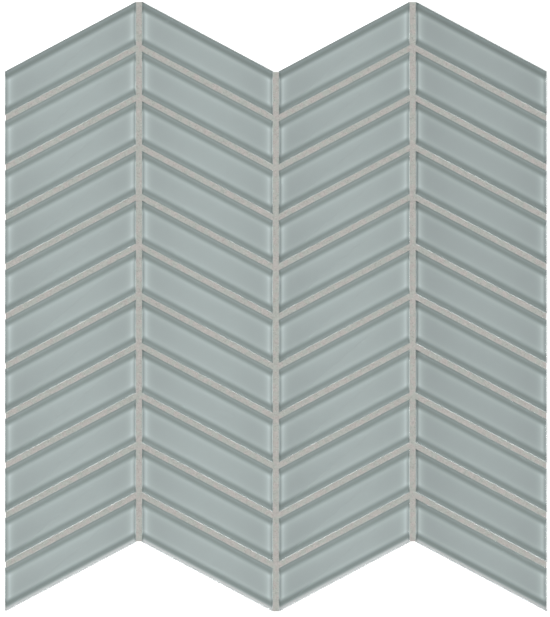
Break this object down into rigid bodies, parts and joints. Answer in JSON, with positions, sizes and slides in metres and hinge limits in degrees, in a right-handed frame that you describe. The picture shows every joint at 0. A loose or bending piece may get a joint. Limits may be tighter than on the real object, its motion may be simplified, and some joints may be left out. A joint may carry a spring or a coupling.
{
  "type": "chevron glass mosaic wall tile sheet",
  "caption": "Flat mosaic sheet of slanting grey-green glass chips in a chevron pattern, grouted, on a mesh backing, with zigzag edges that interlock with the next sheet.",
  "frame": {"origin": "centre of the sheet's back, on the plane it is bonded by", "axes": "+X across the columns, +Y up the sheet to its upper zigzag edge, +Z out of the glass face"},
  "size_m": [0.267, 0.3008, 0.0085],
  "materials": {
    "glass": "clear glass, colour coat on its back, polished face",
    "grout": "fine sanded cement grout",
    "mesh": "open glass-fibre mesh"
  },
  "bodies": {
    "root": {"glass_chip_c1_r01": "glass", "glass_chip_c1_r02": "glass", "glass_chip_c1_r03": "glass", "glass_chip_c1_r04": "glass", "glass_chip_c1_r05": "glass", "glass_chip_c1_r06": "glass", "glass_chip_c1_r07": "glass", "glass_chip_c1_r08": "glass", "glass_chip_c1_r09": "glass", "glass_chip_c1_r10": "glass", "glass_chip_c1_r11": "glass", "glass_chip_c2_r01": "glass", "glass_chip_c2_r02": "glass", "glass_chip_c2_r03": "glass", "glass_chip_c2_r04": "glass", "glass_chip_c2_r05": "glass", "glass_chip_c2_r06": "glass", "glass_chip_c2_r07": "glass", "glass_chip_c2_r08": "glass", "glass_chip_c2_r09": "glass", "glass_chip_c2_r10": "glass", "glass_chip_c2_r11": "glass", "glass_chip_c3_r01": "glass", "glass_chip_c3_r02": "glass", "glass_chip_c3_r03": "glass", "glass_chip_c3_r04": "glass", "glass_chip_c3_r05": "glass", "glass_chip_c3_r06": "glass", "glass_chip_c3_r07": "glass", "glass_chip_c3_r08": "glass", "glass_chip_c3_r09": "glass", "glass_chip_c3_r10": "glass", "glass_chip_c3_r11": "glass", "glass_chip_c4_r01": "glass", "glass_chip_c4_r02": "glass", "glass_chip_c4_r03": "glass", "glass_chip_c4_r04": "glass", "glass_chip_c4_r05": "glass", "glass_chip_c4_r06": "glass", "glass_chip_c4_r07": "glass", "glass_chip_c4_r08": "glass", "glass_chip_c4_r09": "glass", "glass_chip_c4_r10": "glass", "glass_chip_c4_r11": "glass", "grout": "grout", "mesh_backing": "mesh"}
  },
  "joints": []
}
